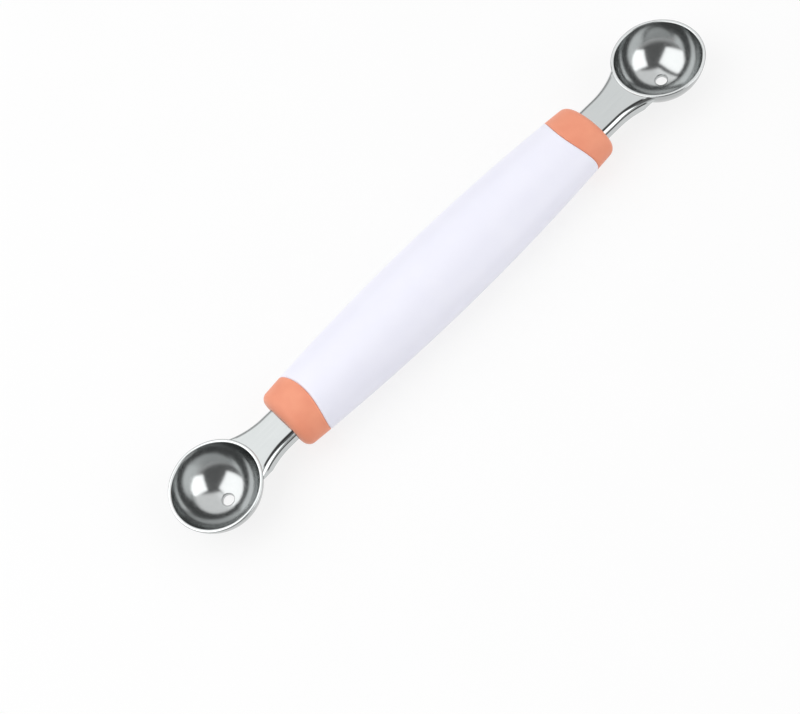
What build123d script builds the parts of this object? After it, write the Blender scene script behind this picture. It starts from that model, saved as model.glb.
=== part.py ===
"""Double-ended melon baller: two pressed scoops held by a core inside an oval barrel handle.

Millimetres. +X runs along the tool towards the right scoop, +Y across it, and +Z up, the way both
bowls open. The origin is on the table under the middle of the tool, which rests on both bowls.
"""
import math
import os

from build123d import *

# Bowls
rim_diameter = 25.0
bowl_depth = 10.8
sheet = 0.9
lip_height = 0.25
drain_diameter = 3.0

# Necks: a flat plate with its sides turned down
neck_width = 10.5
bend_radius = 1.5
flange_depth = 3.3
flare_radius = 22.0
flare_tip_width = 16.0
flange_end_run = 3.2
neck_inside = 10.0

# Tangs: the flat strips that run on inside the core
tang_width = 7.0
tang_length = 22.0
pin_from_tang_end = 7.0
pin_diameter = 3.2
pin_end_cover = 0.4

# Handle
handle_length = 111.6
belly_width = 23.8
end_width = 18.4
belly_thickness = 16.0
neck_above_axis = 1.7
collar_length = 7.2
seam_radius = 11.6
end_rounding = 2.3
sleeve_end_wall = 1.8
collar_cap = 2.5
slot_arch = 0.5
station_shares = [-1, -0.75, -0.5, -0.25, 0, 0.25, 0.5, 0.75, 1]

# How far each bowl's centre stands out of the handle
right_reach = 26.2
left_reach = 23.2

# Clearances
fit_gap = 0.1
pin_gap = 0.05
overrun = 2.0

# Places that follow from the sizes
rim_radius = rim_diameter / 2
inner_rim_radius = rim_radius - sheet
wall_middle_radius = rim_radius - sheet / 2
inner_depth = bowl_depth - sheet
bowl_radius = (rim_radius**2 + bowl_depth**2) / (2 * bowl_depth)
inner_bowl_radius = (inner_rim_radius**2 + inner_depth**2) / (2 * inner_depth)
drain_rise = bowl_radius - math.sqrt(bowl_radius**2 - (drain_diameter / 2) ** 2)
plate_z = bowl_depth - drain_rise
axis_z = plate_z - neck_above_axis
half_length = handle_length / 2
seam_distance = half_length - collar_length
handle_x = (left_reach - right_reach) / 2
flattening = belly_thickness / belly_width
barrel_drop = (belly_width - end_width) / 2
barrel_radius = (half_length**2 + barrel_drop**2) / (2 * barrel_drop)
core_end = half_length - collar_cap
pin_distance = half_length - neck_inside - tang_length + pin_from_tang_end
tip_y = flare_tip_width / 2
tip_x = -math.sqrt(rim_radius**2 - tip_y**2)
flare_rise = tip_y - neck_width / 2
flare_start_x = tip_x - math.sqrt(flare_radius**2 - (flare_radius - flare_rise) ** 2)
sides = {"right": 1, "left": -1}
reaches = {"right": right_reach, "left": left_reach}
pin_places = {end: (handle_x + side * pin_distance, 0, axis_z) for end, side in sides.items()}


def barrel_half_width(distance):
    """Half the handle's width at a distance from its middle: its sides are long circular arcs."""
    return belly_width / 2 - barrel_radius + math.sqrt(barrel_radius**2 - distance**2)


bore_half_width = barrel_half_width(seam_distance) - sleeve_end_wall
bore_half_thickness = barrel_half_width(seam_distance) * flattening - sleeve_end_wall


def level_plane(side, x, z):
    """A level plane whose own x points outwards at one end of the tool."""
    return Plane(origin=(x, 0, z), x_dir=(side, 0, 0), z_dir=(0, 0, 1))


def side_plane(side, x, z):
    """An upright plane along the tool: its own x points outwards and its own y up."""
    return Plane(origin=(x, 0, z), x_dir=(side, 0, 0), z_dir=(0, -side, 0))


def cross_plane(side, distance):
    """A plane square to the handle at a distance from its middle, facing outwards, own y up."""
    return Plane(origin=(handle_x + side * distance, 0, axis_z), x_dir=(0, side, 0), z_dir=(side, 0, 0))


def neck_plan(plane, inset, inner_x):
    """The neck seen from above, with x from the bowl's centre and its sides drawn in by an inset.

    Each side runs straight from inner_x, then flares in an arc that ends near the rim.
    """
    radius = flare_radius + inset
    side_y = neck_width / 2 - inset
    end_y = tip_y - inset
    end_x = flare_start_x + math.sqrt(radius**2 - (radius - flare_rise) ** 2)
    with BuildSketch(plane) as plan:
        with BuildLine():
            Polyline((inner_x, 0), (inner_x, side_y), (flare_start_x, side_y))
            TangentArc((flare_start_x, side_y), (end_x, end_y), tangent=(radius, 0))
            Line((end_x, end_y), (end_x, 0))
            mirror(about=Plane.XZ)
        make_face()
    return plan.sketch


def neck_section(plane, grow, arch):
    """The neck's section grown by a clearance, with a shallow arch over the middle of its plate."""
    half = neck_width / 2 + grow
    top = neck_above_axis + grow
    bottom = neck_above_axis - flange_depth - grow
    shoulder = bend_radius + grow
    tongue_half = neck_width / 2 - sheet - grow
    tongue_top = neck_above_axis - sheet - grow
    corner = bend_radius - sheet - grow
    with BuildSketch(plane) as section:
        with BuildLine():
            Line((0, tongue_top), (tongue_half - corner, tongue_top))
            RadiusArc((tongue_half - corner, tongue_top), (tongue_half, tongue_top - corner), corner)
            Polyline((tongue_half, tongue_top - corner), (tongue_half, bottom), (half, bottom))
            Line((half, bottom), (half, top - shoulder))
            RadiusArc((half, top - shoulder), (half - shoulder, top), -shoulder)
            if arch:
                SagittaArc((half - shoulder, top), (0, top + arch), arch / 2)
            else:
                Line((half - shoulder, top), (0, top))
            mirror(about=Plane.YZ)
        make_face()
    return section.sketch


def along_neck(edge):
    """Whether an edge runs along the neck rather than across it."""
    direction = edge % 0.5
    return abs(direction.X) > abs(direction.Y)


os.makedirs("parts", exist_ok=True)

# Scoops: each is one pressing, drawn from its bowl's centre with x pointing outwards
for end, side in sides.items():
    bowl_x = handle_x + side * (half_length + reaches[end])
    neck_start = -reaches[end] - neck_inside
    tang_start = neck_start - tang_length
    with BuildPart() as hollow:
        under = level_plane(side, bowl_x, plate_z - sheet)
        extrude(neck_plan(under, sheet, neck_start - overrun), amount=-flange_depth)
        bends = hollow.faces().sort_by(Axis.Z)[-1].edges().filter_by(along_neck)
        fillet(bends, bend_radius - sheet)
    with BuildPart() as scoop:
        extrude(neck_plan(level_plane(side, bowl_x, plate_z), 0, neck_start), amount=-flange_depth)
        bends = scoop.faces().sort_by(Axis.Z)[-1].edges().filter_by(along_neck)
        fillet(bends, bend_radius)
        add(hollow.part, mode=Mode.SUBTRACT)
        with BuildSketch(side_plane(side, bowl_x, plate_z)):
            with BuildLine():
                Polyline(
                    (tip_x - flange_end_run, -flange_depth - overrun),
                    (tip_x - flange_end_run, -flange_depth),
                    (tip_x, -sheet),
                    (0, -sheet),
                    (0, -flange_depth - overrun),
                    close=True,
                )
            make_face()
        extrude(amount=flare_tip_width, both=True, mode=Mode.SUBTRACT)
        with Locations((bowl_x, 0, plate_z)):
            Cylinder(wall_middle_radius, 2 * flange_depth, mode=Mode.SUBTRACT)
        with BuildSketch(side_plane(side, bowl_x, plate_z)):
            with BuildLine():
                RadiusArc((0, -bowl_depth), (rim_radius, 0), -bowl_radius)
                Polyline((rim_radius, 0), (rim_radius, lip_height), (inner_rim_radius, lip_height))
                Line((inner_rim_radius, lip_height), (inner_rim_radius, 0))
                RadiusArc((inner_rim_radius, 0), (0, -inner_depth), inner_bowl_radius)
                Line((0, -inner_depth), (0, -bowl_depth))
            make_face()
        revolve(axis=Axis((bowl_x, 0, 0), (0, 0, 1)))
        with BuildSketch(level_plane(side, bowl_x, plate_z)):
            with Locations((tang_start, 0)):
                Rectangle(tang_length + sheet, tang_width, align=(Align.MIN, Align.CENTER))
            with Locations((tang_start + pin_from_tang_end, 0)):
                Circle(pin_diameter / 2 + pin_gap, mode=Mode.SUBTRACT)
        extrude(amount=-sheet)
        with Locations((bowl_x, 0, sheet)):
            Hole(drain_diameter / 2)
    scoop.part.label = f"{end}_scoop"
    export_step(scoop.part, f"parts/{end}_scoop.step")

# The handle's whole outside, from which sleeve and collars are cut
with BuildPart() as barrel:
    for share in station_shares:
        half_width = barrel_half_width(share * half_length)
        with BuildSketch(cross_plane(1, share * half_length)):
            Ellipse(half_width, half_width * flattening)
    loft()

# Collars: soft ends, each with a curved seam towards the sleeve and a slot for its neck
zones = []
for end, side in sides.items():
    seam_x = handle_x + side * (seam_distance - seam_radius)
    zone_length = half_length - seam_distance + seam_radius + overrun
    with BuildPart() as zone:
        with BuildSketch(side_plane(side, seam_x, axis_z)):
            Rectangle(zone_length, 2 * seam_radius, align=(Align.MIN, Align.CENTER))
            Circle(seam_radius, mode=Mode.SUBTRACT)
        extrude(amount=belly_width, both=True)
    zones.append(zone.part)
    with BuildPart() as collar:
        add(barrel.part)
        add(zone.part, mode=Mode.INTERSECT)
        fillet(collar.faces().filter_by(Axis.X).edges(), end_rounding)
        with BuildSketch(cross_plane(side, 0)):
            Ellipse(bore_half_width, bore_half_thickness)
        extrude(amount=core_end, mode=Mode.SUBTRACT)
        slot = neck_section(cross_plane(side, core_end), fit_gap, slot_arch)
        extrude(slot, amount=collar_cap + overrun, mode=Mode.SUBTRACT)
    collar.part.label = f"{end}_collar"
    export_step(collar.part, f"parts/{end}_collar.step")

# Sleeve: the barrel between the two seams, with a straight oval bore
with BuildPart() as handle_sleeve:
    add(barrel.part)
    add(zones, mode=Mode.SUBTRACT)
    with BuildSketch(cross_plane(1, -half_length)):
        Ellipse(bore_half_width, bore_half_thickness)
    extrude(amount=handle_length, mode=Mode.SUBTRACT)
handle_sleeve.part.label = "handle_sleeve"
export_step(handle_sleeve.part, "parts/handle_sleeve.step")

# Core: an oval bar in two halves that close on the tangs at the level of the necks' plates
with BuildPart() as bar:
    with BuildSketch(cross_plane(1, -core_end)):
        Ellipse(bore_half_width - fit_gap, bore_half_thickness - fit_gap)
    extrude(amount=2 * core_end)
    with Locations(*pin_places.values()):
        Cylinder(pin_diameter / 2 + pin_gap, belly_thickness, mode=Mode.SUBTRACT)

with BuildPart() as core_upper:
    add(bar.part)
    split(bisect_by=Plane.XY.offset(plate_z), keep=Keep.TOP)
core_upper.part.label = "core_upper"
export_step(core_upper.part, "parts/core_upper.step")

with BuildPart() as core_lower:
    add(bar.part)
    split(bisect_by=Plane.XY.offset(plate_z), keep=Keep.BOTTOM)
    for side in sides.values():
        neck_foot = half_length - neck_inside - fit_gap
        tang_foot = neck_foot - tang_length
        channel = neck_section(cross_plane(side, neck_foot), fit_gap, 0)
        extrude(channel, amount=neck_inside, mode=Mode.SUBTRACT)
        with BuildSketch(cross_plane(side, tang_foot)):
            with Locations((0, neck_above_axis)):
                Rectangle(tang_width + 2 * fit_gap, sheet + fit_gap, align=(Align.CENTER, Align.MAX))
        extrude(amount=tang_length, mode=Mode.SUBTRACT)
core_lower.part.label = "core_lower"
export_step(core_lower.part, "parts/core_lower.step")

# Pins through both core halves and the tangs
for end, place in pin_places.items():
    with BuildPart() as pin:
        with Locations(place):
            Cylinder(pin_diameter / 2, 2 * (bore_half_thickness - fit_gap - pin_end_cover))
    pin.part.label = f"{end}_tang_pin"
    export_step(pin.part, f"parts/{end}_tang_pin.step")
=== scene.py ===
"""Looks for the double-ended melon baller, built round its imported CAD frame.

Everything stands in the CAD's own frame: +X along the tool to the right scoop, +Y across it and
+Z up, the way both bowls open, with z = 0 on the table. Sizes are written in millimetres and
scaled to metres as a mesh is made.
"""
import logging
import math
from dataclasses import dataclass, field
from enum import Enum

import bmesh
import bpy
import numpy as np
from bpy.types import ID, Light, Material, Mesh, Node, NodeSocket, NodeTree, Object, World
from mathutils import Matrix, Vector


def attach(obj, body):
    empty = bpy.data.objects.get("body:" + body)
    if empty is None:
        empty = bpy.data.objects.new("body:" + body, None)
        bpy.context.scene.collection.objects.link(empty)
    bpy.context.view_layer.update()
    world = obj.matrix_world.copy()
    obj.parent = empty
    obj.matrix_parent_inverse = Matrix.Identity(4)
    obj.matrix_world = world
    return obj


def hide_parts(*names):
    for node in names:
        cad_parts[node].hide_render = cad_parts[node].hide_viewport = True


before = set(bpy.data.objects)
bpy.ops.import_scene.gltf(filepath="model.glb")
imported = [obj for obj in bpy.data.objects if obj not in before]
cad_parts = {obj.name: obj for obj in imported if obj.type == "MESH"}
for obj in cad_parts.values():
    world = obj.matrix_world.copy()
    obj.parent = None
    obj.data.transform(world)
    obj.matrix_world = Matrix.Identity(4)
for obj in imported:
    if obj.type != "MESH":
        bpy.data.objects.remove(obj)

MM = 0.001
TINY = 1e-9
MERGE_MM = 0.0005
SLIVER_MM = 0.0001
NOISE_RANGE = (0.3, 0.7)
Pair = tuple[float, float]
Triple = tuple[float, float, float]
Colour = tuple[float, float, float, float]
Stops = list[tuple[float, Colour]]

logging.basicConfig(level=logging.INFO, format="%(levelname)s %(message)s")
log = logging.getLogger("melon_baller")


class End(Enum):
    """The two ends of the tool, as the direction of each along X."""

    RIGHT = 1
    LEFT = -1

    @property
    def label(self) -> str:
        """The end's name, as the CAD nodes spell it."""
        return self.name.lower()


# numbers, colours and nodes


def linear(colour: str) -> Colour:
    """Turn an sRGB hex colour into linear red, green, blue and an alpha of 1.

    Args:
        colour: six hex digits after a hash sign.

    Returns:
        The four linear shares.
    """
    shares = (int(colour[i : i + 2], 16) / 255 for i in (1, 3, 5))
    return (*(s / 12.92 if s <= 0.04045 else ((s + 0.055) / 1.055) ** 2.4 for s in shares), 1.0)


def grey(value: float) -> Colour:
    """A plain linear grey, for ramps that carry a number."""
    return (value, value, value, 1.0)


def per_mm(size: float) -> float:
    """Pattern scale, in repeats a metre, of a pattern that repeats every so many millimetres."""
    return 1 / (size * MM)


def noise(place: object, size_mm: float, detail: float, roughness: float = 0.5) -> dict[str, object]:
    """The inputs of a noise texture whose blobs are about so many millimetres across."""
    return {"Vector": place, "Scale": per_mm(size_mm), "Detail": detail, "Roughness": roughness}


def two_tones(deep: str, light: str, places: Pair = NOISE_RANGE) -> Stops:
    """The stops of a colour ramp from a deep to a light sRGB colour, over where most noise lies."""
    return [(places[0], linear(deep)), (places[1], linear(light))]


def spread(low: float, high: float, first: float, last: float) -> dict[int, float]:
    """The sockets of Map Range that turn low to high into first to last."""
    return {1: low, 2: high, 3: first, 4: last}


def empty_tree(holder: Material | Light | World) -> NodeTree:
    """Switch a material, light or world to nodes, clear them and return its tree."""
    holder.use_nodes = True
    holder.node_tree.nodes.clear()
    return holder.node_tree


def add_node(
    tree: NodeTree,
    kind: str,
    inputs: dict | None = None,
    stops: Stops | None = None,
    **settings: object,
) -> Node:
    """Add a node, set its options and fill or link its inputs.

    Args:
        tree: the node tree it goes in.
        kind: Blender's name of the node type, without its ShaderNode prefix.
        inputs: socket name or number, with a value, an output socket or a node for its first output.
        stops: place and linear colour of each stop of a colour ramp, from the lowest up.
        settings: the node's own options.

    Returns:
        The new node.
    """
    node = tree.nodes.new("ShaderNode" + kind)
    for name, value in settings.items():
        setattr(node, name, value)
    for name, value in (inputs or {}).items():
        value = value.outputs[0] if isinstance(value, Node) else value
        if isinstance(value, NodeSocket):
            tree.links.new(value, node.inputs[name])
        else:
            node.inputs[name].default_value = value
    if stops:
        elements = node.color_ramp.elements
        while len(elements) < len(stops):
            elements.new(0.5)
        for element, (place, colour) in zip(elements, stops):
            element.position, element.color = place, colour
    return node


# finishes


@dataclass(frozen=True)
class Finish:
    """What every finish shares: a name and the nodes that lead to one surface shader."""

    name: str = "finish"

    def material(self) -> Material:
        """Make the material.

        Returns:
            A new node material, with its pattern laid out by build().
        """
        made = bpy.data.materials.new(self.name)
        tree = empty_tree(made)
        shader = self.build(tree, add_node(tree, "TexCoord").outputs["Object"])
        add_node(tree, "OutputMaterial", {"Surface": shader})
        return made

    def build(self, tree: NodeTree, place: NodeSocket) -> Node:
        """Lay out the pattern and return the surface shader."""
        raise NotImplementedError


@dataclass(frozen=True)
class PolishedBowlSteel(Finish):
    """Stainless steel, deep drawn and buffed: a mirror with faint ripple left by the drawing die.

    By height, the steep wall under the rim is painted darker, as painted shade for its darker reflections,
    and the lip is painted lighter than the bottom, as a painted highlight.
    """

    name: str = "stainless_steel_buffed_bowl"
    bright: str = "#C0C2C2"
    dull: str = "#BBBEBE"
    # painted shade on the steep wall and painted highlight on the lip, as shares of the colour
    painted_shade_wall_share: float = 0.86
    painted_highlight_lip_share: float = 1.35
    wall_mm: Pair = (5.0, 9.0)
    lip_mm: Pair = (10.76, 10.9)
    top_mm: float = 12.0
    ripple_mm: float = 5.0
    ripple_depth_mm: float = 0.05
    ripple_strength: float = 0.2
    haze_mm: float = 0.9
    haze_detail: float = 3.0
    haze_roughness: float = 0.65
    haze_range: Pair = (0.3, 0.75)
    gloss: Pair = (0.13, 0.2)

    def build(self, tree: NodeTree, place: NodeSocket) -> Node:
        """A slow ripple tilts the mirror a little, and a finer haze varies its gloss.

        Args:
            tree: the material's node tree.
            place: object coordinates.

        Returns:
            The Principled shader.
        """
        ripple = add_node(tree, "TexNoise", noise(place, self.ripple_mm, 1.0))
        haze = add_node(tree, "TexNoise", noise(place, self.haze_mm, self.haze_detail, self.haze_roughness))
        tint = add_node(tree, "ValToRGB", {"Fac": haze}, two_tones(self.dull, self.bright))
        # painted light: by height, the colour is darker on the steep wall as painted shade and lighter on the
        # lip as a painted highlight
        height = add_node(tree, "SeparateXYZ", {0: place}).outputs["Z"]
        rise = add_node(tree, "MapRange", {"Value": height, 2: self.top_mm * MM})
        shares = (1.0, self.painted_shade_wall_share, self.painted_shade_wall_share, self.painted_highlight_lip_share)
        stops = [(z / self.top_mm, grey(share)) for z, share in zip(self.wall_mm + self.lip_mm, shares)]
        painted_light_by_height = add_node(tree, "ValToRGB", {"Fac": rise}, stops)
        shade = add_node(tree, "VectorMath", {0: tint, 1: painted_light_by_height}, operation="MULTIPLY")
        gloss = add_node(tree, "MapRange", {"Value": haze, **spread(*self.haze_range, *self.gloss)})
        relief = {"Height": ripple, "Strength": self.ripple_strength, "Distance": self.ripple_depth_mm * MM}
        bump = add_node(tree, "Bump", relief)
        steel = {"Base Color": shade, "Metallic": 1.0, "Roughness": gloss, "Normal": bump}
        return add_node(tree, "BsdfPrincipled", steel)


@dataclass(frozen=True)
class SatinNeckSteel(Finish):
    """Stainless steel sheet, rolled and lightly brushed along the neck: soft grey with fine lines.

    A dark line of painted shade runs along each side of the fold between the plate and its flange, where the
    surface turns between the angles given; it stands in for a dark reflection there. The painted line on +Y
    is lighter, and the lines stop a little short of the bowls.
    """

    name: str = "stainless_steel_satin_neck"
    bright: str = "#CBCECE"
    dull: str = "#C4C8C8"
    # painted shade: the level of the dark fold lines, how much of them shows on +Y, and where they stop
    painted_shade_level: float = 0.1
    painted_shade_share_plus_y: float = 0.4
    side_blend: float = 0.05
    painted_shade_turns: tuple[Pair, ...] = ((62.0, 78.0), (5.0, 24.0))
    painted_shade_blend: float = 3.0
    painted_shade_stop_mm: Pair = (68.3, 69.1)
    line_length_mm: float = 14.0
    line_width_mm: float = 0.16
    line_depth_mm: float = 0.005
    line_strength: float = 0.1
    line_detail: float = 3.0
    line_roughness: float = 0.6
    cloud_mm: float = 4.0
    cloud_detail: float = 2.0
    gloss: Pair = (0.08, 0.13)

    def build(self, tree: NodeTree, place: NodeSocket) -> Node:
        """Noise stretched along X draws the brushing, clouds vary the gloss, and the normal finds the fold,
        where dark lines of painted shade go.

        The surface's turn t from level is read as cos t, the height of its unit normal.

        Args:
            tree: the material's node tree.
            place: object coordinates.

        Returns:
            The Principled shader.
        """
        along, across = per_mm(self.line_length_mm), per_mm(self.line_width_mm)
        stretch = add_node(tree, "Mapping", {"Vector": place, "Scale": (along, across, across)})
        brushing = {"Scale": 1.0, "Detail": self.line_detail, "Roughness": self.line_roughness}
        lines = add_node(tree, "TexNoise", {"Vector": stretch, **brushing})
        cloud = add_node(tree, "TexNoise", noise(place, self.cloud_mm, self.cloud_detail))
        tint = add_node(tree, "ValToRGB", {"Fac": lines}, two_tones(self.dull, self.bright))
        normal = add_node(tree, "SeparateXYZ", {0: add_node(tree, "TexCoord").outputs["Normal"]}).outputs
        # painted shade: a dark line each side of the fold, placed by the height of the normal
        stops = []
        for gentle, steep in self.painted_shade_turns:
            for turn, inner, outer in ((steep, self.painted_shade_level, 1.0), (gentle, 1.0, self.painted_shade_level)):
                for step, share in ((self.painted_shade_blend, outer), (-self.painted_shade_blend, inner)):
                    stops.append((math.cos(math.radians(turn + step)), grey(share)))
        fold = add_node(tree, "ValToRGB", {"Fac": normal["Z"]}, stops)
        # painted shade is lighter on +Y and stops short of the bowls
        sides = spread(-self.side_blend, self.side_blend, 1.0, self.painted_shade_share_plus_y)
        side = add_node(tree, "MapRange", {"Value": normal["Y"], **sides})
        reach = add_node(tree, "VectorMath", {0: place}, operation="ABSOLUTE")
        reach = add_node(tree, "SeparateXYZ", {0: reach}).outputs["X"]
        start, end = (x * MM for x in self.painted_shade_stop_mm)
        fade = add_node(tree, "MapRange", {"Value": reach, **spread(start, end, 1.0, 0.0)})
        painted_shade_share = add_node(tree, "Math", {0: side, 1: fade}, operation="MULTIPLY")
        fold = add_node(tree, "MixRGB", {0: painted_shade_share, 1: grey(1.0), 2: fold})
        shade = add_node(tree, "VectorMath", {0: tint, 1: fold}, operation="MULTIPLY")
        gloss = add_node(tree, "MapRange", {"Value": cloud, **spread(*NOISE_RANGE, *self.gloss)})
        relief = {"Height": lines, "Strength": self.line_strength, "Distance": self.line_depth_mm * MM}
        bump = add_node(tree, "Bump", relief)
        steel = {"Base Color": shade, "Metallic": 1.0, "Roughness": gloss, "Normal": bump}
        return add_node(tree, "BsdfPrincipled", steel)


@dataclass(frozen=True)
class MouldedPlastic(Finish):
    """Plastic, injection moulded: slow clouds vary its colour, and a fine grain breaks its gloss."""

    light: str = "#FFFFFF"
    deep: str = "#FFFFFF"
    cloud_mm: float = 6.0
    cloud_detail: float = 2.0
    cloud_range: Pair = (0.35, 0.65)
    gloss: Pair = (0.4, 0.5)
    ior: float = 1.53
    sheen: float = 0.0
    grain_mm: float = 0.0
    grain_detail: float = 2.0
    grain_roughness: float = 0.5
    grain_strength: float = 0.1
    grain_depth_mm: float = 0.02
    grain_varies_gloss: bool = False

    def build(self, tree: NodeTree, place: NodeSocket) -> Node:
        """Noise shifts the pigment, and the cloud or the grain varies the gloss; a grain of 0 is none.

        Args:
            tree: the material's node tree.
            place: object coordinates.

        Returns:
            The Principled shader.
        """
        varied = cloud = add_node(tree, "TexNoise", noise(place, self.cloud_mm, self.cloud_detail))
        tint = add_node(tree, "ValToRGB", {"Fac": cloud}, two_tones(self.deep, self.light, self.cloud_range))
        plastic = {"Base Color": tint, "IOR": self.ior, "Sheen Weight": self.sheen}
        if self.grain_mm:
            fine = noise(place, self.grain_mm, self.grain_detail, self.grain_roughness)
            grain = add_node(tree, "TexNoise", fine)
            depth = self.grain_depth_mm * MM
            relief = {"Height": grain, "Strength": self.grain_strength, "Distance": depth}
            plastic["Normal"] = add_node(tree, "Bump", relief)
            varied = grain if self.grain_varies_gloss else cloud
        gloss = spread(*NOISE_RANGE, *self.gloss)
        plastic["Roughness"] = add_node(tree, "MapRange", {"Value": varied, **gloss})
        return add_node(tree, "BsdfPrincipled", plastic)


@dataclass(frozen=True)
class MouldedWhiteABS(MouldedPlastic):
    """ABS, from a polished tool: cool white, softly glossy, with a faint flow mottle and orange peel."""

    name: str = "abs_moulded_cool_white"
    light: str = "#F2F2FD"
    deep: str = "#F0F0FC"
    cloud_mm: float = 9.0
    gloss: Pair = (0.34, 0.42)
    grain_mm: float = 0.35
    grain_detail: float = 1.0
    grain_strength: float = 0.12


@dataclass(frozen=True)
class SoftCoralTPE(MouldedPlastic):
    """Thermoplastic elastomer, from a blasted tool: coral, matt and slightly rubbery."""

    name: str = "tpe_moulded_soft_coral"
    light: str = "#F29C7B"
    deep: str = "#ED9474"
    gloss: Pair = (0.5, 0.62)
    ior: float = 1.5
    sheen: float = 0.15
    grain_mm: float = 0.22
    grain_roughness: float = 0.7
    grain_strength: float = 0.35
    grain_depth_mm: float = 0.03
    grain_varies_gloss: bool = True


@dataclass(frozen=True)
class NaturalNylon(MouldedPlastic):
    """Nylon 6 without pigment: milky ivory, a little glossy, seen only in the slots."""

    name: str = "nylon_moulded_natural"
    light: str = "#E9E5D8"
    deep: str = "#DED9C9"
    cloud_mm: float = 5.0
    cloud_detail: float = 3.0
    gloss: Pair = (0.35, 0.5)


@dataclass(frozen=True)
class TurnedPinSteel(Finish):
    """Steel rod, turned: a darker grey with fine rings round the pin's upright axis."""

    name: str = "steel_turned_pin"
    light: str = "#B9BCBE"
    deep: str = "#9A9DA0"
    ring_mm: float = 0.2
    ring_depth_mm: float = 0.01
    ring_strength: float = 0.3
    ring_wander: float = 0.4
    ring_range: Pair = (0.2, 0.8)
    wave_turn: float = 20.0
    roughness: float = 0.32

    def build(self, tree: NodeTree, place: NodeSocket) -> Node:
        """Bands stacked along Z are the tool marks of the turning.

        Args:
            tree: the material's node tree.
            place: object coordinates.

        Returns:
            The Principled shader.
        """
        # the wave turns by 20 radians in each unit, so the rings are 2 pi times as coarse, to show
        scale = per_mm(self.ring_mm) / self.wave_turn
        marks = {"Vector": place, "Scale": scale, "Distortion": self.ring_wander, "Detail": 1.0}
        rings = add_node(tree, "TexWave", marks, wave_type="BANDS", bands_direction="Z").outputs["Fac"]
        tint = add_node(tree, "ValToRGB", {"Fac": rings}, two_tones(self.deep, self.light, self.ring_range))
        relief = {"Height": rings, "Strength": self.ring_strength, "Distance": self.ring_depth_mm * MM}
        bump = add_node(tree, "Bump", relief)
        steel = {"Base Color": tint, "Metallic": 1.0, "Roughness": self.roughness, "Normal": bump}
        return add_node(tree, "BsdfPrincipled", steel)


@dataclass
class Finishes:
    """One of each finish, made once and shared by the pieces."""

    bowl_steel: Material = field(default_factory=PolishedBowlSteel().material)
    neck_steel: Material = field(default_factory=SatinNeckSteel().material)
    white_abs: Material = field(default_factory=MouldedWhiteABS().material)
    coral_tpe: Material = field(default_factory=SoftCoralTPE().material)
    nylon: Material = field(default_factory=NaturalNylon().material)
    pin_steel: Material = field(default_factory=TurnedPinSteel().material)


# surfaces


class Shell:
    """Grids of points in millimetres, gathered and closed into one mesh."""

    def __init__(self) -> None:
        """Start with no points and no faces."""
        self.points: list[np.ndarray] = []
        self.quads: list[np.ndarray] = []
        self.count = 0

    def add(self, grid: np.ndarray, loop_rows: bool = False, loop_columns: bool = False) -> None:
        """Add a grid's quads: each joins a point, the next row's, the one beside that and the next column's.

        Args:
            grid: rows by columns by three, in millimetres.
            loop_rows: whether the last row joins the first.
            loop_columns: whether the last column joins the first.
        """
        rows, columns = grid.shape[:2]
        index = np.arange(rows * columns).reshape(rows, columns) + self.count
        if loop_rows:
            index = np.vstack([index, index[:1]])
        if loop_columns:
            index = np.hstack([index, index[:, :1]])
        corners = (index[:-1, :-1], index[1:, :-1], index[1:, 1:], index[:-1, 1:])
        self.quads.append(np.stack(corners, axis=-1).reshape(-1, 4))
        self.points.append(grid.reshape(-1, 3))
        self.count += rows * columns

    def mesh(self, name: str, sharp_from: float = 35.0) -> Mesh:
        """Make the mesh: points that coincide are merged, and faces turned outwards.

        Args:
            name: the mesh's name.
            sharp_from: edges that turn by more degrees than this stay sharp.

        Returns:
            The closed mesh, in metres.
        """
        made = bpy.data.meshes.new(name)
        made.from_pydata(np.concatenate(self.points) * MM, [], np.concatenate(self.quads))
        work = bmesh.new()
        work.from_mesh(made)
        bmesh.ops.remove_doubles(work, verts=work.verts, dist=MERGE_MM * MM)
        bmesh.ops.dissolve_degenerate(work, dist=SLIVER_MM * MM, edges=work.edges)
        bmesh.ops.recalc_face_normals(work, faces=work.faces)
        work.to_mesh(made)
        work.free()
        made.shade_smooth()
        made.set_sharp_from_angle(angle=math.radians(sharp_from))
        return made


def rounded(
    before: np.ndarray, corner: np.ndarray, after: np.ndarray, radius: float, steps: int
) -> np.ndarray:
    """Round off a corner between two legs with a circular arc, for every column at once.

    With unit legs a and b that meet at an angle t, each leg is cut back by radius / tan(t/2), and
    the arc is the rational curve with ends on the legs and the corner weighted by sin(t/2).

    Args:
        before: a point on the leg that comes in, for each column.
        corner: the sharp corner.
        after: a point on the leg that goes out.
        radius: the arc's radius.
        steps: how many rows the arc has.

    Returns:
        Rows of points, steps by columns by three.
    """
    a = before - corner
    b = after - corner
    a /= np.linalg.norm(a, axis=-1, keepdims=True) + TINY
    b /= np.linalg.norm(b, axis=-1, keepdims=True) + TINY
    cosine = np.sum(a * b, axis=-1, keepdims=True)
    half_sine = np.sqrt((1 - cosine) / 2)
    half_cosine = np.sqrt((1 + cosine) / 2)
    cut = radius * half_cosine / (half_sine + TINY)
    t = np.linspace(0, 1, steps)[:, None, None]
    start, middle, finish = (1 - t) ** 2, 2 * t * (1 - t) * half_sine, t**2
    total = start * (corner + a * cut) + middle * corner + finish * (corner + b * cut)
    return total / (start + middle + finish)


def between(first: np.ndarray, last: np.ndarray, rows: int, ends: bool = False) -> np.ndarray:
    """Rows of points evenly spaced from one loop to another.

    Args:
        first: the loop it starts from, columns by three.
        last: the loop it runs to.
        rows: how many rows to make.
        ends: whether the two loops themselves are among the rows.

    Returns:
        Rows by columns by three.
    """
    t = np.linspace(0, 1, rows) if ends else np.linspace(0, 1, rows + 2)[1:-1]
    return first + t[:, None, None] * (last - first)


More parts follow.
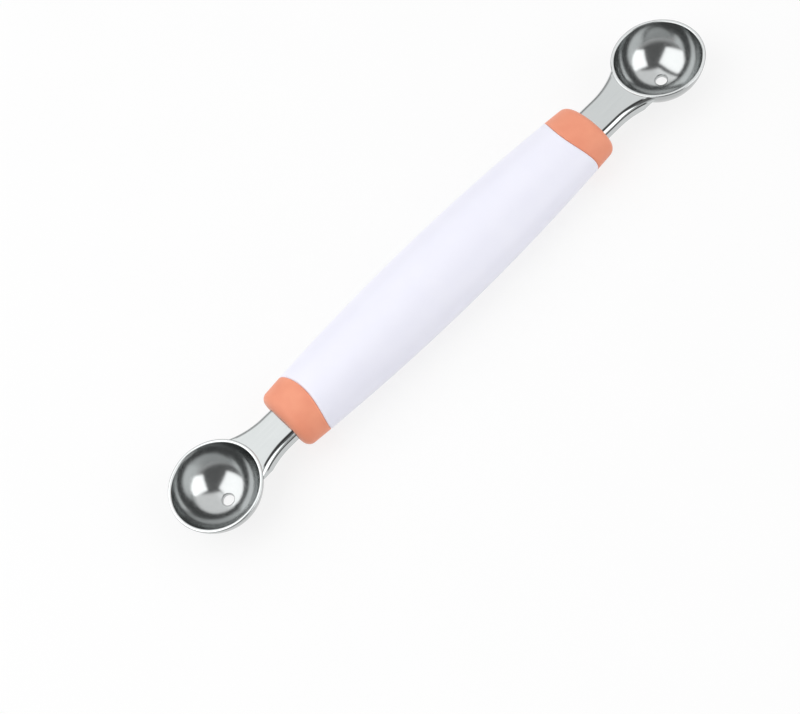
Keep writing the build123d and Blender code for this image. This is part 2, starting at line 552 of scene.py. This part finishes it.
def ring_mesh(name: str, ring: np.ndarray) -> Mesh:
    """Make one closed mesh of a grid whose rows and columns both run in loops."""
    shell = Shell()
    shell.add(ring, loop_rows=True, loop_columns=True)
    return shell.mesh(name)


def new_object(name: str, data: ID) -> Object:
    """Make an object of a mesh, camera or light, and put it in the scene."""
    made = bpy.data.objects.new(name, data)
    bpy.context.scene.collection.objects.link(made)
    return made


def new_piece(mesh: Mesh, slot: str, node: str, *finishes: Material) -> Object:
    """Put a finished mesh in the scene, riding on the frame in place of its CAD node.

    Args:
        mesh: the finished mesh, already in its place.
        slot: the record's material slot; not used.
        node: the CAD node that it stands for.
        finishes: its materials, in order.

    Returns:
        The new object, at the origin.
    """
    piece = new_object(mesh.name, mesh)
    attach(piece, "root")
    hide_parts(node)
    for finish in finishes:
        mesh.materials.append(finish)
    return piece


@dataclass(frozen=True)
class Pressing:
    """The sizes of the steel that both scoops share, in millimetres."""

    rim_radius: float = 12.5
    bowl_depth: float = 10.8
    sheet: float = 0.9
    lip_height: float = 0.25
    drain_radius: float = 1.5
    drain_flare: float = 0.3
    neck_width: float = 10.5
    neck_above_axis: float = 1.7
    neck_inside: float = 10.0
    bend_radius: float = 1.5
    flange_depth: float = 3.3

    @property
    def plate_z(self) -> float:
        """Height of the neck's plate: the bowl rests on the edge of its drain hole."""
        ball = (self.rim_radius**2 + self.bowl_depth**2) / (2 * self.bowl_depth)
        return self.bowl_depth - ball + math.sqrt(ball**2 - self.drain_radius**2)

    @property
    def axis_z(self) -> float:
        """Height of the handle's axis."""
        return self.plate_z - self.neck_above_axis


# the handle


@dataclass(frozen=True)
class Barrel:
    """The handle's whole outside, in millimetres: long arcs along it, an oval across it."""

    axis_z: float
    middle_x: float = -1.5
    length: float = 111.6
    belly_width: float = 23.8
    end_width: float = 18.4
    thickness: float = 16.0
    collar_length: float = 7.2
    seam_radius: float = 11.6
    end_wall: float = 1.8
    columns: int = 240
    rounds: int = 12

    @property
    def half_length(self) -> float:
        """Half the handle's length."""
        return self.length / 2

    @property
    def flattening(self) -> float:
        """The oval's height over its width."""
        return self.thickness / self.belly_width

    @property
    def seam_centre(self) -> float:
        """How far each seam's own centre is from the handle's middle."""
        return self.half_length - self.collar_length - self.seam_radius

    @property
    def angles(self) -> np.ndarray:
        """Angles round the oval, clockwise from its top, so that columns mirror about the middle."""
        return math.pi / 2 - np.linspace(0, 2 * math.pi, self.columns, endpoint=False)

    def half_width(self, distance: np.ndarray) -> np.ndarray:
        """Half the width at a distance from the middle: the sides are circular arcs.

        Args:
            distance: along the handle, from its middle.

        Returns:
            Half the belly's width less the arc's drop.
        """
        drop = (self.belly_width - self.end_width) / 2
        radius = (self.half_length**2 + drop**2) / (2 * drop)
        return self.belly_width / 2 - radius + np.sqrt(radius**2 - distance**2)

    def skin(self, distance: np.ndarray, inset: float = 0.0) -> np.ndarray:
        """Points on the outside, or inside it: w cos a across and k w sin a up, each w less an inset.

        Args:
            distance: one distance for each column.
            inset: how far the oval is drawn in.

        Returns:
            Columns of distance, y and height above the axis.
        """
        wide = self.half_width(distance)
        y = (wide - inset) * np.cos(self.angles)
        z = (wide * self.flattening - inset) * np.sin(self.angles)
        return np.stack([distance, y, z], axis=-1)

    def seam_at(self, height: np.ndarray) -> np.ndarray:
        """Distance of the seam at a height: the seam is part of a cylinder that lies across the handle."""
        return self.seam_centre + np.sqrt(self.seam_radius**2 - height**2)

    def seam_edge(self) -> np.ndarray:
        """The line where the seam meets the outside, found by a few rounds of substitution."""
        distance = np.full(self.columns, self.half_length - self.collar_length)
        for _ in range(self.rounds):
            distance = self.seam_at(self.skin(distance)[:, 2])
        return self.skin(distance)

    def bore(self, distance: float | None = None) -> np.ndarray:
        """A loop on the straight oval bore, at a distance or, with none given, at the seam.

        Args:
            distance: along the handle, or nothing for the seam.

        Returns:
            Columns of distance, y and height above the axis.
        """
        loop = self.skin(np.full(self.columns, self.half_length - self.collar_length), self.end_wall)
        loop[:, 0] = self.seam_at(loop[:, 2]) if distance is None else distance
        return loop

    def seam_wall(self, first: np.ndarray, last: np.ndarray, rows: int) -> np.ndarray:
        """Rows across the seam from one loop to another, each on the seam's cylinder.

        Args:
            first: the loop it starts from.
            last: the loop it runs to.
            rows: how many rows lie between them.

        Returns:
            Rows by columns by three.
        """
        wall = between(first, last, rows)
        wall[..., 0] = self.seam_at(wall[..., 2])
        return wall

    def to_frame(self, points: np.ndarray, side: int) -> np.ndarray:
        """Take distance, y and height into the CAD frame, towards one end of the tool."""
        return points * (side, 1, 1) + (self.middle_x, 0, self.axis_z)


@dataclass
class HandleSleeve:
    """The white sleeve between the two seams, a closed shell with the bore through it."""

    barrel: Barrel
    finishes: Finishes
    edge_radius: float = 0.3
    run_out: float = 1.2
    rows: int = 120
    edge_rows: int = 6
    seam_rows: int = 2
    bore_rows: int = 10

    def build(self) -> Object:
        """Carry one closed profile round the handle: outside, seam, bore, seam.

        Returns:
            The sleeve's object.
        """
        hull = self.barrel
        edge, bore = hull.seam_edge(), hull.bore()
        mirror = np.array([-1, 1, 1])
        reach = edge[:, 0] - self.run_out
        shares = np.linspace(-1, 1, self.rows)
        outside = np.stack([hull.skin(share * reach) for share in shares])
        wall = hull.seam_wall(edge, bore, self.seam_rows)
        lip = rounded(outside[-1], edge, wall[0], self.edge_radius, self.edge_rows)
        right = np.concatenate([lip, wall, bore[None]])
        left = (right * mirror)[::-1]
        profile = np.concatenate([outside, right, between(right[-1], left[0], self.bore_rows), left])
        mesh = ring_mesh("handle_sleeve_moulded", hull.to_frame(profile, 1))
        return new_piece(mesh, "white_abs", "handle_sleeve", self.finishes.white_abs)


@dataclass
class Collar:
    """A soft collar with a rounded end and a slot that follows the neck's section."""

    barrel: Barrel
    steel: Pressing
    finishes: Finishes
    end: End
    edge_radius: float = 0.3
    end_rounding: float = 2.3
    cap: float = 2.5
    gap: float = 0.1
    arch: float = 0.5
    back: float = 1.0
    run_out: float = 0.9
    slot_counts: tuple[int, ...] = (38, 21, 21, 4, 8, 5, 24)
    side_rows: int = 16
    nose_rows: int = 14
    edge_rows: int = 6
    face_rows: int = 3
    seam_rows: int = 2

    def slot_half(self) -> tuple[np.ndarray, int, int]:
        """The slot's outline on the +Y side, from its top middle round to the tongue's middle.

        It runs over the arched top, round the shoulder, down the side, under the flange, up the
        tongue's side, round the tongue's corner and across to the middle. Each stretch has about as
        many points as the columns that face it on the collar's end, so that no face folds over.

        Returns:
            The points as y and height, and the first and last number of those up the tongue.
        """
        steel, gap = self.steel, self.gap
        half = steel.neck_width / 2 + gap
        top = steel.neck_above_axis + gap
        bottom = steel.neck_above_axis - steel.flange_depth - gap
        shoulder = steel.bend_radius + gap
        tongue_half = steel.neck_width / 2 - steel.sheet - gap
        tongue_top = steel.neck_above_axis - steel.sheet - gap
        corner = steel.bend_radius - steel.sheet - gap
        counts = self.slot_counts
        across = np.linspace(0, 1, counts[0], endpoint=False)
        turn = np.linspace(0, math.pi / 2, counts[1], endpoint=False)
        small = np.linspace(0, math.pi / 2, counts[5], endpoint=False)
        flat = half - shoulder
        quarter = np.stack([np.cos(small), np.sin(small)], axis=-1)
        parts = [
            np.stack([across * flat, top + self.arch * np.cos(across * math.pi / 2) ** 2], axis=-1),
            np.stack([flat + shoulder * np.sin(turn), top - shoulder + shoulder * np.cos(turn)], axis=-1),
            np.linspace((half, top - shoulder), (half, bottom), counts[2], endpoint=False),
            np.linspace((half, bottom), (tongue_half, bottom), counts[3], endpoint=False),
            np.linspace((tongue_half, bottom), (tongue_half, tongue_top - corner), counts[4], endpoint=False),
            np.array([tongue_half, tongue_top]) - corner + corner * quarter,
            np.linspace((tongue_half - corner, tongue_top), (0, tongue_top), counts[6]),
        ]
        first = sum(counts[:4])
        return np.concatenate(parts), first, first + counts[4] + counts[5]

    def slot_rows(self, distance: float) -> np.ndarray:
        """Loops that grow from the slot's plain outer outline to the whole slot, in one flat face.

        Row by row the middle of the outline climbs the tongue: points passed on the way stay where
        they are, and those not yet reached wait together at the climbing corner.

        Args:
            distance: where the flat face stands along the handle.

        Returns:
            Rows by columns by three, from the plain outline to the slot.
        """
        half, first, last = self.slot_half()
        loops = []
        for reached in range(first, last + 1):
            row = half.copy()
            row[reached:last] = half[reached]
            share = np.linspace(1, 0, len(half) - last)
            row[last:] = np.stack([half[reached, 0] * share, np.full_like(share, half[reached, 1])], axis=-1)
            loops.append(row)
        rows = np.stack(loops)
        other = rows[:, -2:0:-1] * (-1, 1)
        return np.insert(np.concatenate([rows, other], axis=1), 0, distance, axis=-1)

    def build(self) -> Object:
        """Carry a closed profile round: seam, outside, rounded end, slot, inner cap face and bore.

        Returns:
            The collar's object.
        """
        hull = self.barrel
        tip = hull.half_length
        edge, bore = hull.seam_edge(), hull.bore()
        wall = hull.seam_wall(bore, edge, self.seam_rows)
        end_loop = hull.skin(np.full(hull.columns, tip))
        angles = hull.angles
        across = np.stack([np.zeros_like(angles), np.cos(angles) * hull.flattening, np.sin(angles)], axis=-1)
        inward = end_loop - across / np.linalg.norm(across, axis=-1, keepdims=True)
        back = hull.skin(np.full(hull.columns, tip - self.back))
        nose = rounded(back, end_loop, inward, self.end_rounding, self.nose_rows)
        start = edge[:, 0] + self.run_out
        shares = np.linspace(0, 1, self.side_rows)
        outside = np.stack([hull.skin(start + share * (nose[0, :, 0] - start)) for share in shares])
        slot = self.slot_rows(tip)
        deep = self.slot_rows(tip - self.cap)[::-1]
        inner = hull.bore(tip - self.cap)
        seam = rounded(wall[-1], edge, outside[0], self.edge_radius, self.edge_rows)
        face = between(nose[-1], slot[0], self.face_rows)
        through = between(slot[-1], deep[0], self.face_rows)
        back_face, straight = (between(a, b, self.seam_rows) for a, b in ((deep[-1], inner), (inner, bore)))
        profile = [bore[None], wall, seam, outside[:-1], nose, face, slot]
        profile += [through, deep, back_face, inner[None], straight]
        name = f"{self.end.label}_collar"
        mesh = ring_mesh(f"{name}_moulded", hull.to_frame(np.concatenate(profile), self.end.value))
        return new_piece(mesh, "coral_tpe", name, self.finishes.coral_tpe)


# the scoops


@dataclass
class Scoop:
    """One steel pressing: a drawn bowl with a raised lip, a flanged neck and a flat tang."""

    steel: Pressing
    finishes: Finishes
    end: End
    centre_x: float
    reach: float
    flare_radius: float = 22.0
    tip_y: float = 8.0
    end_run: float = 3.2
    joint_radius: float = 12.1
    tang_width: float = 7.0
    tang_length: float = 22.0
    pin_place: float = 7.0
    pin_radius: float = 1.65
    rim_margin: float = 0.01
    columns: int = 288
    bowl_counts: tuple[int, ...] = (64, 17, 8)
    neck_rows: int = 140
    neck_counts: tuple[int, ...] = (12, 10, 20)
    neck_rounds: int = 40
    tang_counts: tuple[int, ...] = (24, 60, 24, 60)

    def place(self, points: np.ndarray) -> np.ndarray:
        """Take points drawn from the bowl's centre into the CAD frame, x outwards."""
        return points * (self.end.value, 1, 1) + (self.centre_x, 0, self.steel.plate_z)

    def bowl_profile(self) -> np.ndarray:
        """The bowl's cut as radius and height: inner arc, lip, outer arc and the drain hole's wall.

        Each arc is r = R sin t and z = c - R cos t, from the sphere through the rim and the pole,
        and the lip is the upper half of an oval as wide as the sheet. The hole's wall rises
        straight and then rounds outwards, as a deburred edge does.

        Returns:
            A closed line of points.
        """
        steel = self.steel
        parts = []
        arc_count, lip_count, wall_count = self.bowl_counts
        for thick, flare, order in ((steel.sheet, steel.drain_flare, 1), (0.0, 0.0, -1)):
            radius, depth = steel.rim_radius - thick, steel.bowl_depth - thick
            ball = (radius**2 + depth**2) / (2 * depth)
            hole = steel.drain_radius + flare
            t = np.linspace(math.asin(hole / ball), math.asin(radius / ball), arc_count)
            arc = np.stack([ball * np.sin(t), ball - depth - ball * np.cos(t)], axis=-1)
            parts.append(arc[::order])
        turn = np.linspace(math.pi, 0, lip_count)[1:-1]
        middle = steel.rim_radius - steel.sheet / 2
        lip = np.stack([middle + steel.sheet / 2 * np.cos(turn), steel.lip_height * np.sin(turn)], axis=-1)
        turn = np.linspace(0, math.pi / 2, wall_count)[1:-1]
        low, high = parts[1][-1], parts[0][0]
        wall = low + (high - low) * np.stack([1 - np.cos(turn), np.sin(turn)], axis=-1)
        return np.concatenate([parts[0], lip, parts[1], wall])

    def bowl(self) -> np.ndarray:
        """The bowl's profile turned once round its upright axis."""
        profile = self.bowl_profile()
        angles = np.linspace(0, 2 * math.pi, self.columns, endpoint=False)
        radius, height = profile[:, :1], profile[:, 1:]
        return np.stack([radius * np.cos(angles), radius * np.sin(angles), height + 0 * angles], axis=-1)

    def half_width(self, x: np.ndarray) -> np.ndarray:
        """Half the neck's width: straight, then flaring along a circular arc to the rim.

        Args:
            x: place along the neck, from the bowl's centre.

        Returns:
            The straight half width, plus the arc's rise past the flare's start.
        """
        tip_x = -math.sqrt(self.steel.rim_radius**2 - self.tip_y**2)
        rise = self.tip_y - self.steel.neck_width / 2
        start = tip_x - math.sqrt(self.flare_radius**2 - (self.flare_radius - rise) ** 2)
        along = np.maximum(x - start, 0)
        return self.steel.neck_width / 2 + self.flare_radius - np.sqrt(self.flare_radius**2 - along**2)

    def neck_skin(self, inner: bool) -> np.ndarray:
        """One side of the neck's sheet: a U-shaped section carried along to the bowl's wall.

        The section goes from one flange's foot over both bends to the other. Across, a point is at
        share x (half width - bend) + offset. Along, each runs evenly to where its own width meets
        the joint's circle. The flanges' feet rise on a slope in front of the bowl.

        Args:
            inner: whether this is the underside rather than the upper side.

        Returns:
            Rows by columns by three, from the bowl's centre.
        """
        bend = self.steel.bend_radius
        radius = bend - self.steel.sheet if inner else bend
        top = -self.steel.sheet if inner else 0.0
        foot_count, turn_count, flat_count = self.neck_counts
        foot = np.linspace(self.steel.flange_depth, bend, foot_count, endpoint=False)
        turn = np.linspace(math.pi / 2, 0, turn_count, endpoint=False)
        flat = np.linspace(1, 0, flat_count)
        share = np.concatenate([np.ones(len(foot) + len(turn)), flat])
        offset = np.concatenate([np.full(len(foot), radius), radius * np.sin(turn), 0 * flat])
        depth = np.concatenate([foot, bend - radius * np.cos(turn), np.full(len(flat), -top)])
        side = np.concatenate([np.ones(len(share)), -np.ones(len(share) - 1)])
        share, offset, depth = (np.concatenate([v, v[-2::-1]]) for v in (share, offset, depth))

        tip_x = -math.sqrt(self.steel.rim_radius**2 - self.tip_y**2)
        slope = (self.steel.flange_depth - self.steel.sheet) / self.end_run

        def limit(x: np.ndarray) -> np.ndarray:
            """How deep the section may reach: the whole flange, less in front of the bowl."""
            return np.clip((tip_x - x) * slope + self.steel.sheet, self.steel.sheet, self.steel.flange_depth)

        def across(x: np.ndarray) -> np.ndarray:
            """How far each section point stands from the middle line, cut off where the bend is cut."""
            cut = np.sqrt(np.maximum(radius**2 - np.maximum(bend - limit(x), 0) ** 2, 0))
            return side * (share * (self.half_width(x) - bend) + np.minimum(offset, cut))

        far = np.full(len(side), -self.joint_radius)
        for _ in range(self.neck_rounds):
            far = -np.sqrt(np.maximum(self.joint_radius**2 - across(far) ** 2, TINY))
        near = -self.reach - self.steel.neck_inside
        t = np.linspace(0, 1, self.neck_rows)[:, None]
        x = near + t * (far - near)
        return np.stack([x, across(x), -np.minimum(depth, limit(x))], axis=-1)

    def neck(self) -> list[np.ndarray]:
        """The neck's closed sheet: its two sides and the four borders that join them."""
        upper, under = self.neck_skin(False), self.neck_skin(True)
        borders = [np.stack([upper[k], under[k]]) for k in (0, -1)]
        borders += [np.stack([upper[:, k], under[:, k]]) for k in (0, -1)]
        return [upper, under, *borders]

    def tang(self) -> np.ndarray:
        """The tang as one closed loop of rows: its outline, the pin hole, and the same below.

        Columns go round the hole's centre, each on the rectangle's outline and on the circle.

        Returns:
            Rows by columns by three, from the bowl's centre.
        """
        start = -self.reach - self.steel.neck_inside - self.tang_length
        low, high = -self.pin_place, self.tang_length + self.steel.sheet - self.pin_place
        half = self.tang_width / 2
        corners = [(high, -half), (high, half), (low, half), (low, -half), (high, -half)]
        legs = zip(corners, corners[1:], self.tang_counts)
        sides = [np.linspace(a, b, count, endpoint=False) for a, b, count in legs]
        outline = np.concatenate(sides)
        turn = np.arctan2(outline[:, 1], outline[:, 0])
        circle = self.pin_radius * np.stack([np.cos(turn), np.sin(turn)], axis=-1)
        loops = [(outline, 0.0), (circle, 0.0), (circle, -self.steel.sheet), (outline, -self.steel.sheet)]
        return np.stack([np.insert(flat + (start + self.pin_place, 0), 2, z, axis=-1) for flat, z in loops])

    def build(self) -> Object:
        """Close the three surfaces into one piece and part its two finishes at the rim.

        Returns:
            The scoop's object.
        """
        shell = Shell()
        shell.add(self.place(self.bowl()), loop_rows=True, loop_columns=True)
        for surface in self.neck():
            shell.add(self.place(surface))
        shell.add(self.place(self.tang()), loop_rows=True, loop_columns=True)
        name = f"{self.end.label}_scoop"
        mesh = shell.mesh(f"{name}_pressed")
        centres = np.empty(len(mesh.polygons) * 3, np.float32)
        mesh.polygons.foreach_get("center", centres)
        x, y, _ = (centres.reshape(-1, 3) / MM - (self.centre_x, 0, 0)).T
        on_neck = np.hypot(x, y) > self.steel.rim_radius + self.rim_margin
        piece = new_piece(mesh, "polished_steel", name, self.finishes.bowl_steel, self.finishes.neck_steel)
        mesh.polygons.foreach_set("material_index", on_neck.astype(np.int32))
        return piece


# the parts inside


@dataclass
class Inside:
    """The core halves and tang pins, which keep their CAD shapes and take a finish."""

    finishes: Finishes
    core_nodes: tuple[str, ...] = ("core_upper", "core_lower")
    pin_nodes: tuple[str, ...] = ("right_tang_pin", "left_tang_pin")

    def dress(self) -> list[Object]:
        """Give each node its finish.

        Returns:
            The four CAD objects.
        """
        dressed = []
        pairs = ((self.core_nodes, self.finishes.nylon), (self.pin_nodes, self.finishes.pin_steel))
        for names, finish in pairs:
            for name in names:
                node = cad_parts[name]
                node.data.materials.clear()
                node.data.materials.append(finish)
                dressed.append(node)
        return dressed


# the studio


@dataclass(frozen=True)
class Softbox:
    """A rectangle of light in millimetres, placed by its angles from the camera at the far bowl."""

    name: str
    across: float
    above: float
    width: float
    height: float
    distance: float
    radiance: float
    roll: float
    soft_edge: float = 0.2
    edge_level: float = 0.35


@dataclass
class Studio:
    """A pale floor, two softboxes beside the camera and a room round them, none of it the tool's.

    Each sky lists the height of a direction's unit vector with the room's level there, and each
    edge or gap gives the shares of a direction between which one sky turns into the other.
    """

    eye: Triple = (-86.09, -197.27, 361.32)
    aim: Triple = (-25.04, -9.46, 9.03)
    roll: float = 28.36
    lens: float = 72.0
    sensor: float = 36.0
    clip: Pair = (0.01, 20.0)
    lit_point: Triple = (60.0, 0.0, 9.0)
    softboxes: tuple[Softbox, ...] = (
        Softbox("left_softbox", -53.8, 8.2, 1450.0, 1040.0, 1000.0, 1.72, -26.0),
        Softbox("right_softbox", 42.5, 6.0, 1220.0, 1290.0, 1500.0, 1.9, 15.0),
    )
    floor_size_m: float = 8.0
    floor_drop_mm: float = 0.02
    floor_tones: tuple[str, str] = ("#F4F4F4", "#F6F6F6")
    floor_grain_mm: float = 30.0
    floor_glow: float = 0.8
    floor_fade_m: Pair = (0.4, 1.2)
    near_sky: tuple[Pair, ...] = ((0.02, 0.03), (0.09, 0.65), (0.25, 0.65), (0.45, 0.15))
    far_sky: tuple[Pair, ...] = ((0.02, 0.03), (0.1, 0.34), (0.3, 0.34), (0.5, 1.04))
    far_side: Triple = (0.5, 0.866, 0.0)
    far_edge: Pair = (-0.09, 0.07)
    left_gap: Pair = (-0.03, 0.04)
    ceiling_lift: tuple[float, float, float, float] = (0.05, 0.33, 1.27, 1.0)

    def camera(self) -> Object:
        """Point the camera at its aim and turn it about its own line of sight.

        Returns:
            The camera.
        """
        data = bpy.data.cameras.new("camera")
        data.lens, data.sensor_width = self.lens, self.sensor
        data.clip_start, data.clip_end = self.clip
        camera = new_object("camera", data)
        eye, aim = Vector(self.eye) * MM, Vector(self.aim) * MM
        look = (aim - eye).to_track_quat("-Z", "Y").to_matrix()
        turn = Matrix.Rotation(math.radians(-self.roll), 3, "Z")
        camera.matrix_world = Matrix.Translation(eye) @ (look @ turn).to_4x4()
        bpy.context.scene.camera = camera
        return camera

    def floor(self) -> Object:
        """A plain paper floor that the tool stands on.

        Other surfaces are lit by it as by matt paper. Seen straight, or in metal, part of its white
        is its own, so that it reads as a white background and keeps a light shadow. Well away from
        the tool it is all its own, so that no horizon shows. From below it is clear, so that the
        underside of the tool can be looked at.

        Returns:
            The floor.
        """
        half, z = self.floor_size_m / 2, -self.floor_drop_mm * MM
        corners = [(x * half, y * half, z) for x, y in ((-1, -1), (1, -1), (1, 1), (-1, 1))]
        mesh = bpy.data.meshes.new("paper_floor")
        mesh.from_pydata(corners, [], [(0, 1, 2, 3)])
        floor = new_object("paper_floor", mesh)
        made = bpy.data.materials.new("paper_floor_matt")
        tree = empty_tree(made)
        place = add_node(tree, "TexCoord").outputs["Object"]
        grain = add_node(tree, "TexNoise", noise(place, self.floor_grain_mm, 1.0))
        tint = add_node(tree, "ValToRGB", {"Fac": grain}, two_tones(*self.floor_tones))
        paper = add_node(tree, "BsdfDiffuse", {"Color": tint})
        white = add_node(tree, "Emission", {"Color": grey(1.0)})
        path = add_node(tree, "LightPath").outputs
        rays = {0: path["Is Camera Ray"], 1: path["Is Glossy Ray"]}
        seen = add_node(tree, "Math", rays, operation="MAXIMUM")
        seen = add_node(tree, "Math", {0: seen, 1: path["Is Transmission Ray"]}, operation="MAXIMUM")
        away = add_node(tree, "VectorMath", {0: place}, operation="LENGTH").outputs["Value"]
        fade = spread(*self.floor_fade_m, self.floor_glow, 1.0)
        glow = add_node(tree, "MapRange", {"Value": away, **fade}, interpolation_type="SMOOTHSTEP")
        share = add_node(tree, "Math", {0: seen, 1: glow}, operation="MULTIPLY")
        both = add_node(tree, "MixShader", {0: share, 1: paper, 2: white})
        behind = add_node(tree, "NewGeometry").outputs["Backfacing"]
        either = add_node(tree, "MixShader", {0: behind, 1: both, 2: add_node(tree, "BsdfTransparent")})
        add_node(tree, "OutputMaterial", {"Surface": either})
        mesh.materials.append(made)
        return floor

    def soften(self, data: Light, softbox: Softbox) -> None:
        """Let a softbox's light fade towards the edges of its cloth.

        Across each side the place runs from 0 to 1, and |2 place - 1| is how near an edge it is.

        Args:
            data: the light.
            softbox: the share of each half that fades, and the level at the edge.
        """
        tree = empty_tree(data)
        cloth = add_node(tree, "NewGeometry").outputs["Parametric"]
        twice = {0: cloth, 1: (2, 2, 2), 2: (-1, -1, -1)}
        signed = add_node(tree, "VectorMath", twice, operation="MULTIPLY_ADD")
        nearness = add_node(tree, "VectorMath", {0: signed}, operation="ABSOLUTE")
        sides = add_node(tree, "SeparateXYZ", {0: nearness}).outputs
        fall = spread(1 - softbox.soft_edge, 1.0, 1.0, softbox.edge_level)
        fades = [
            add_node(tree, "MapRange", {"Value": sides[axis], **fall}, interpolation_type="SMOOTHSTEP")
            for axis in ("X", "Y")
        ]
        both = add_node(tree, "Math", {0: fades[0], 1: fades[1]}, operation="MULTIPLY")
        glow = add_node(tree, "Emission", {"Color": grey(1.0), "Strength": both})
        add_node(tree, "OutputLight", {"Surface": glow})

    def lamp(self, softbox: Softbox, camera: Object) -> Object:
        """Hang a softbox facing the tool, level with the camera's own frame.

        Its direction from the lit point is turned by its two angles away from the camera, and its
        power is radiance x pi x area.

        Args:
            softbox: its angles, sizes and radiance.
            camera: the camera that the angles start from.

        Returns:
            The lamp.
        """
        data = bpy.data.lights.new(softbox.name, "AREA")
        data.shape = "RECTANGLE"
        data.size, data.size_y = softbox.width * MM, softbox.height * MM
        data.energy = softbox.radiance * math.pi * data.size * data.size_y
        self.soften(data, softbox)
        facing = camera.matrix_world.to_3x3()
        for angle, axis in ((softbox.across, "Y"), (-softbox.above, "X"), (softbox.roll, "Z")):
            facing = facing @ Matrix.Rotation(math.radians(angle), 3, axis)
        start = Vector(self.lit_point) * MM + facing @ Vector((0, 0, softbox.distance * MM))
        lamp = new_object(softbox.name, data)
        lamp.matrix_world = Matrix.Translation(start) @ facing.to_4x4()
        lamp.visible_camera = False
        return lamp

    def world(self) -> None:
        """The room: pale beyond the tool, dark above the camera, mid grey low down on its side.

        The far sky takes over past the far edge and right of the left gap, and its ceiling is
        brightest beside that gap. The camera itself sees plain white past everything.
        """
        world = bpy.data.worlds.new("studio_room")
        bpy.context.scene.world = world
        tree = empty_tree(world)
        sky = add_node(tree, "TexCoord").outputs["Generated"]
        lean = add_node(tree, "VectorMath", {0: sky, 1: self.far_side}, operation="DOT_PRODUCT")
        turn = add_node(tree, "SeparateXYZ", {0: sky}).outputs
        ramps = (
            (lean.outputs["Value"], (*self.far_edge, 0, 1)),
            (turn["X"], (*self.left_gap, 0, 1)),
            (turn["X"], self.ceiling_lift),
        )
        beyond, right, lift = (
            add_node(tree, "MapRange", {"Value": value, **spread(*ramp)}, interpolation_type="SMOOTHSTEP")
            for value, ramp in ramps
        )
        beyond = add_node(tree, "Math", {0: beyond, 1: right}, operation="MULTIPLY")
        near, far = (
            add_node(tree, "ValToRGB", {"Fac": turn["Z"]}, [(z, grey(level)) for z, level in levels])
            for levels in (self.near_sky, self.far_sky)
        )
        lit = add_node(tree, "VectorMath", {0: far, 1: lift}, operation="MULTIPLY")
        level = add_node(tree, "MixRGB", {0: beyond, 1: near, 2: lit})
        room, white = (add_node(tree, "Background", {"Color": colour}) for colour in (level, grey(1.0)))
        seen = add_node(tree, "LightPath").outputs["Is Camera Ray"]
        both = add_node(tree, "MixShader", {0: seen, 1: room, 2: white})
        add_node(tree, "OutputWorld", {"Surface": both})

    def build(self) -> None:
        """Set the view, the floor, the room and the lamps."""
        bpy.context.scene.view_settings.view_transform = "Standard"
        camera = self.camera()
        bpy.context.view_layer.update()
        self.floor()
        self.world()
        for softbox in self.softboxes:
            self.lamp(softbox, camera)


def main() -> None:
    """Build the tool round its frame, then the studio."""
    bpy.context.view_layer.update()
    finishes = Finishes()
    steel = Pressing()
    barrel = Barrel(steel.axis_z)
    pieces = [HandleSleeve(barrel, finishes).build()]
    pieces += [Collar(barrel, steel, finishes, end).build() for end in End]
    pieces.append(Scoop(steel, finishes, End.RIGHT, centre_x=80.5, reach=26.2).build())
    pieces.append(Scoop(steel, finishes, End.LEFT, centre_x=-80.5, reach=23.2).build())
    pieces += Inside(finishes).dress()
    for piece in pieces:
        log.info("%s: %d points, %d faces", piece.name, len(piece.data.vertices), len(piece.data.polygons))
    Studio().build()


if __name__ == "__main__":
    main()
